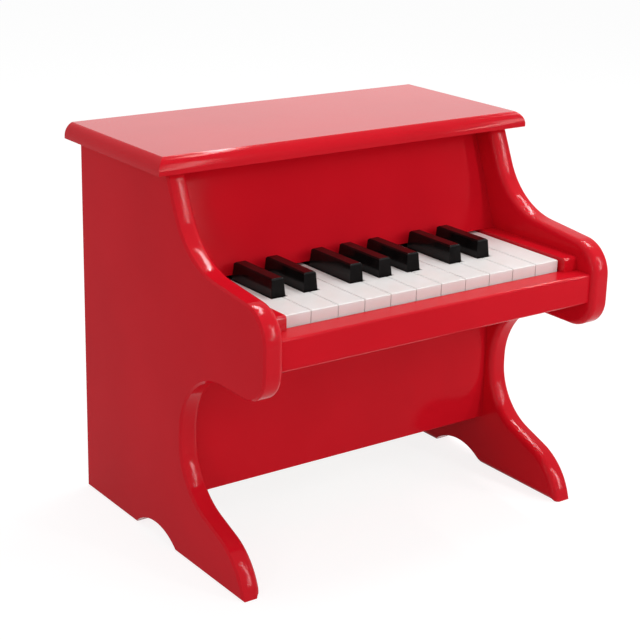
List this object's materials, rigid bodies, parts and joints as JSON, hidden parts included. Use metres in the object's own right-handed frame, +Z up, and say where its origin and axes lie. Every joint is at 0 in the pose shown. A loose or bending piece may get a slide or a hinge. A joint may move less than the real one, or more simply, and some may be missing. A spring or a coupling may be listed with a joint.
{
  "type": "toy upright piano",
  "caption": "Toy upright piano: scrolled side panels, overhanging lid, sloping fallboard, and keys that rock on a rail and throw hammers at hidden tone bars.",
  "frame": {"origin": "on the floor, under the middle of the outer box", "axes": "+X to the player's right, +Y to the back, +Z up; the keyboard faces -Y"},
  "size_m": [0.3386, 0.2566, 0.3],
  "materials": {
    "red_lacquer": "high-gloss red lacquer",
    "bare_wood": "unfinished",
    "white_key": "satin off-white paint",
    "black_key": "gloss black paint",
    "hammer_plastic": "moulded",
    "steel": "plain",
    "cast_metal": "as cast",
    "felt": "wool felt"
  },
  "bodies": {
    "cabinet": {"left_side_panel": "red_lacquer", "right_side_panel": "red_lacquer", "lid": "red_lacquer", "fallboard": "red_lacquer", "knee_panel": "red_lacquer", "key_slip": "red_lacquer", "left_key_block": "red_lacquer", "right_key_block": "red_lacquer", "back_panel": "red_lacquer", "bottom_board": "bare_wood", "key_bed": "bare_wood", "lid_battens": "bare_wood", "balance_rail": "bare_wood", "key_rest_rail": "bare_wood", "key_rest_felt": "felt", "white_stop_felt": "felt", "black_stop_felt": "felt", "balance_pins": "steel", "front_guide_pins": "steel", "hammer_shaft": "steel", "tone_bars": "steel", "tone_block": "cast_metal"},
    "c5_key": {"key_c5": "white_key"},
    "c5_hammer": {"hammer_c5": "hammer_plastic"},
    "cs5_key": {"key_cs5": "black_key"},
    "cs5_hammer": {"hammer_cs5": "hammer_plastic"},
    "d5_key": {"key_d5": "white_key"},
    "d5_hammer": {"hammer_d5": "hammer_plastic"},
    "ds5_key": {"key_ds5": "black_key"},
    "ds5_hammer": {"hammer_ds5": "hammer_plastic"},
    "e5_key": {"key_e5": "white_key"},
    "e5_hammer": {"hammer_e5": "hammer_plastic"},
    "f5_key": {"key_f5": "white_key"},
    "f5_hammer": {"hammer_f5": "hammer_plastic"},
    "fs5_key": {"key_fs5": "black_key"},
    "fs5_hammer": {"hammer_fs5": "hammer_plastic"},
    "g5_key": {"key_g5": "white_key"},
    "g5_hammer": {"hammer_g5": "hammer_plastic"},
    "gs5_key": {"key_gs5": "black_key"},
    "gs5_hammer": {"hammer_gs5": "hammer_plastic"},
    "a5_key": {"key_a5": "white_key"},
    "a5_hammer": {"hammer_a5": "hammer_plastic"},
    "as5_key": {"key_as5": "black_key"},
    "as5_hammer": {"hammer_as5": "hammer_plastic"},
    "b5_key": {"key_b5": "white_key"},
    "b5_hammer": {"hammer_b5": "hammer_plastic"},
    "c6_key": {"key_c6": "white_key"},
    "c6_hammer": {"hammer_c6": "hammer_plastic"},
    "cs6_key": {"key_cs6": "black_key"},
    "cs6_hammer": {"hammer_cs6": "hammer_plastic"},
    "d6_key": {"key_d6": "white_key"},
    "d6_hammer": {"hammer_d6": "hammer_plastic"},
    "ds6_key": {"key_ds6": "black_key"},
    "ds6_hammer": {"hammer_ds6": "hammer_plastic"},
    "e6_key": {"key_e6": "white_key"},
    "e6_hammer": {"hammer_e6": "hammer_plastic"},
    "f6_key": {"key_f6": "white_key"},
    "f6_hammer": {"hammer_f6": "hammer_plastic"}
  },
  "joints": [
    {"name": "c5_key_press", "type": "hinge", "parent": "cabinet", "child": "c5_key", "pos_m": [0, -0.01425, 0.19], "axis": [1, 0, 0], "range_deg": [0, 4.5], "stiffness_Nm_per_rad": 0.1, "springref_deg": -8.59},
    {"name": "c5_hammer_swing", "type": "hinge", "parent": "cabinet", "child": "c5_hammer", "pos_m": [0, 0.10475, 0.21327], "axis": [1, 0, 0], "range_deg": [-20.1, 0]},
    {"name": "cs5_key_press", "type": "hinge", "parent": "cabinet", "child": "cs5_key", "pos_m": [0, -0.01425, 0.19], "axis": [1, 0, 0], "range_deg": [0, 4.5], "stiffness_Nm_per_rad": 0.1, "springref_deg": -8.59},
    {"name": "cs5_hammer_swing", "type": "hinge", "parent": "cabinet", "child": "cs5_hammer", "pos_m": [0, 0.10475, 0.21327], "axis": [1, 0, 0], "range_deg": [-20.1, 0]},
    {"name": "d5_key_press", "type": "hinge", "parent": "cabinet", "child": "d5_key", "pos_m": [0, -0.01425, 0.19], "axis": [1, 0, 0], "range_deg": [0, 4.5], "stiffness_Nm_per_rad": 0.1, "springref_deg": -8.59},
    {"name": "d5_hammer_swing", "type": "hinge", "parent": "cabinet", "child": "d5_hammer", "pos_m": [0, 0.10475, 0.21327], "axis": [1, 0, 0], "range_deg": [-20.1, 0]},
    {"name": "ds5_key_press", "type": "hinge", "parent": "cabinet", "child": "ds5_key", "pos_m": [0, -0.01425, 0.19], "axis": [1, 0, 0], "range_deg": [0, 4.5], "stiffness_Nm_per_rad": 0.1, "springref_deg": -8.59},
    {"name": "ds5_hammer_swing", "type": "hinge", "parent": "cabinet", "child": "ds5_hammer", "pos_m": [0, 0.10475, 0.21327], "axis": [1, 0, 0], "range_deg": [-20.1, 0]},
    {"name": "e5_key_press", "type": "hinge", "parent": "cabinet", "child": "e5_key", "pos_m": [0, -0.01425, 0.19], "axis": [1, 0, 0], "range_deg": [0, 4.5], "stiffness_Nm_per_rad": 0.1, "springref_deg": -8.59},
    {"name": "e5_hammer_swing", "type": "hinge", "parent": "cabinet", "child": "e5_hammer", "pos_m": [0, 0.10475, 0.21327], "axis": [1, 0, 0], "range_deg": [-20.1, 0]},
    {"name": "f5_key_press", "type": "hinge", "parent": "cabinet", "child": "f5_key", "pos_m": [0, -0.01425, 0.19], "axis": [1, 0, 0], "range_deg": [0, 4.5], "stiffness_Nm_per_rad": 0.1, "springref_deg": -8.59},
    {"name": "f5_hammer_swing", "type": "hinge", "parent": "cabinet", "child": "f5_hammer", "pos_m": [0, 0.10475, 0.21327], "axis": [1, 0, 0], "range_deg": [-20.1, 0]},
    {"name": "fs5_key_press", "type": "hinge", "parent": "cabinet", "child": "fs5_key", "pos_m": [0, -0.01425, 0.19], "axis": [1, 0, 0], "range_deg": [0, 4.5], "stiffness_Nm_per_rad": 0.1, "springref_deg": -8.59},
    {"name": "fs5_hammer_swing", "type": "hinge", "parent": "cabinet", "child": "fs5_hammer", "pos_m": [0, 0.10475, 0.21327], "axis": [1, 0, 0], "range_deg": [-20.1, 0]},
    {"name": "g5_key_press", "type": "hinge", "parent": "cabinet", "child": "g5_key", "pos_m": [0, -0.01425, 0.19], "axis": [1, 0, 0], "range_deg": [0, 4.5], "stiffness_Nm_per_rad": 0.1, "springref_deg": -8.59},
    {"name": "g5_hammer_swing", "type": "hinge", "parent": "cabinet", "child": "g5_hammer", "pos_m": [0, 0.10475, 0.21327], "axis": [1, 0, 0], "range_deg": [-20.1, 0]},
    {"name": "gs5_key_press", "type": "hinge", "parent": "cabinet", "child": "gs5_key", "pos_m": [0, -0.01425, 0.19], "axis": [1, 0, 0], "range_deg": [0, 4.5], "stiffness_Nm_per_rad": 0.1, "springref_deg": -8.59},
    {"name": "gs5_hammer_swing", "type": "hinge", "parent": "cabinet", "child": "gs5_hammer", "pos_m": [0, 0.10475, 0.21327], "axis": [1, 0, 0], "range_deg": [-20.1, 0]},
    {"name": "a5_key_press", "type": "hinge", "parent": "cabinet", "child": "a5_key", "pos_m": [0, -0.01425, 0.19], "axis": [1, 0, 0], "range_deg": [0, 4.5], "stiffness_Nm_per_rad": 0.1, "springref_deg": -8.59},
    {"name": "a5_hammer_swing", "type": "hinge", "parent": "cabinet", "child": "a5_hammer", "pos_m": [0, 0.10475, 0.21327], "axis": [1, 0, 0], "range_deg": [-20.1, 0]},
    {"name": "as5_key_press", "type": "hinge", "parent": "cabinet", "child": "as5_key", "pos_m": [0, -0.01425, 0.19], "axis": [1, 0, 0], "range_deg": [0, 4.5], "stiffness_Nm_per_rad": 0.1, "springref_deg": -8.59},
    {"name": "as5_hammer_swing", "type": "hinge", "parent": "cabinet", "child": "as5_hammer", "pos_m": [0, 0.10475, 0.21327], "axis": [1, 0, 0], "range_deg": [-20.1, 0]},
    {"name": "b5_key_press", "type": "hinge", "parent": "cabinet", "child": "b5_key", "pos_m": [0, -0.01425, 0.19], "axis": [1, 0, 0], "range_deg": [0, 4.5], "stiffness_Nm_per_rad": 0.1, "springref_deg": -8.59},
    {"name": "b5_hammer_swing", "type": "hinge", "parent": "cabinet", "child": "b5_hammer", "pos_m": [0, 0.10475, 0.21327], "axis": [1, 0, 0], "range_deg": [-20.1, 0]},
    {"name": "c6_key_press", "type": "hinge", "parent": "cabinet", "child": "c6_key", "pos_m": [0, -0.01425, 0.19], "axis": [1, 0, 0], "range_deg": [0, 4.5], "stiffness_Nm_per_rad": 0.1, "springref_deg": -8.59},
    {"name": "c6_hammer_swing", "type": "hinge", "parent": "cabinet", "child": "c6_hammer", "pos_m": [0, 0.10475, 0.21327], "axis": [1, 0, 0], "range_deg": [-20.1, 0]},
    {"name": "cs6_key_press", "type": "hinge", "parent": "cabinet", "child": "cs6_key", "pos_m": [0, -0.01425, 0.19], "axis": [1, 0, 0], "range_deg": [0, 4.5], "stiffness_Nm_per_rad": 0.1, "springref_deg": -8.59},
    {"name": "cs6_hammer_swing", "type": "hinge", "parent": "cabinet", "child": "cs6_hammer", "pos_m": [0, 0.10475, 0.21327], "axis": [1, 0, 0], "range_deg": [-20.1, 0]},
    {"name": "d6_key_press", "type": "hinge", "parent": "cabinet", "child": "d6_key", "pos_m": [0, -0.01425, 0.19], "axis": [1, 0, 0], "range_deg": [0, 4.5], "stiffness_Nm_per_rad": 0.1, "springref_deg": -8.59},
    {"name": "d6_hammer_swing", "type": "hinge", "parent": "cabinet", "child": "d6_hammer", "pos_m": [0, 0.10475, 0.21327], "axis": [1, 0, 0], "range_deg": [-20.1, 0]},
    {"name": "ds6_key_press", "type": "hinge", "parent": "cabinet", "child": "ds6_key", "pos_m": [0, -0.01425, 0.19], "axis": [1, 0, 0], "range_deg": [0, 4.5], "stiffness_Nm_per_rad": 0.1, "springref_deg": -8.59},
    {"name": "ds6_hammer_swing", "type": "hinge", "parent": "cabinet", "child": "ds6_hammer", "pos_m": [0, 0.10475, 0.21327], "axis": [1, 0, 0], "range_deg": [-20.1, 0]},
    {"name": "e6_key_press", "type": "hinge", "parent": "cabinet", "child": "e6_key", "pos_m": [0, -0.01425, 0.19], "axis": [1, 0, 0], "range_deg": [0, 4.5], "stiffness_Nm_per_rad": 0.1, "springref_deg": -8.59},
    {"name": "e6_hammer_swing", "type": "hinge", "parent": "cabinet", "child": "e6_hammer", "pos_m": [0, 0.10475, 0.21327], "axis": [1, 0, 0], "range_deg": [-20.1, 0]},
    {"name": "f6_key_press", "type": "hinge", "parent": "cabinet", "child": "f6_key", "pos_m": [0, -0.01425, 0.19], "axis": [1, 0, 0], "range_deg": [0, 4.5], "stiffness_Nm_per_rad": 0.1, "springref_deg": -8.59},
    {"name": "f6_hammer_swing", "type": "hinge", "parent": "cabinet", "child": "f6_hammer", "pos_m": [0, 0.10475, 0.21327], "axis": [1, 0, 0], "range_deg": [-20.1, 0]}
  ],
  "couplings": [
    {"joint": "c5_hammer_swing", "follows": "c5_key_press", "ratio": -4.4444},
    {"joint": "cs5_hammer_swing", "follows": "cs5_key_press", "ratio": -4.4444},
    {"joint": "d5_hammer_swing", "follows": "d5_key_press", "ratio": -4.4444},
    {"joint": "ds5_hammer_swing", "follows": "ds5_key_press", "ratio": -4.4444},
    {"joint": "e5_hammer_swing", "follows": "e5_key_press", "ratio": -4.4444},
    {"joint": "f5_hammer_swing", "follows": "f5_key_press", "ratio": -4.4444},
    {"joint": "fs5_hammer_swing", "follows": "fs5_key_press", "ratio": -4.4444},
    {"joint": "g5_hammer_swing", "follows": "g5_key_press", "ratio": -4.4444},
    {"joint": "gs5_hammer_swing", "follows": "gs5_key_press", "ratio": -4.4444},
    {"joint": "a5_hammer_swing", "follows": "a5_key_press", "ratio": -4.4444},
    {"joint": "as5_hammer_swing", "follows": "as5_key_press", "ratio": -4.4444},
    {"joint": "b5_hammer_swing", "follows": "b5_key_press", "ratio": -4.4444},
    {"joint": "c6_hammer_swing", "follows": "c6_key_press", "ratio": -4.4444},
    {"joint": "cs6_hammer_swing", "follows": "cs6_key_press", "ratio": -4.4444},
    {"joint": "d6_hammer_swing", "follows": "d6_key_press", "ratio": -4.4444},
    {"joint": "ds6_hammer_swing", "follows": "ds6_key_press", "ratio": -4.4444},
    {"joint": "e6_hammer_swing", "follows": "e6_key_press", "ratio": -4.4444},
    {"joint": "f6_hammer_swing", "follows": "f6_key_press", "ratio": -4.4444}
  ]
}
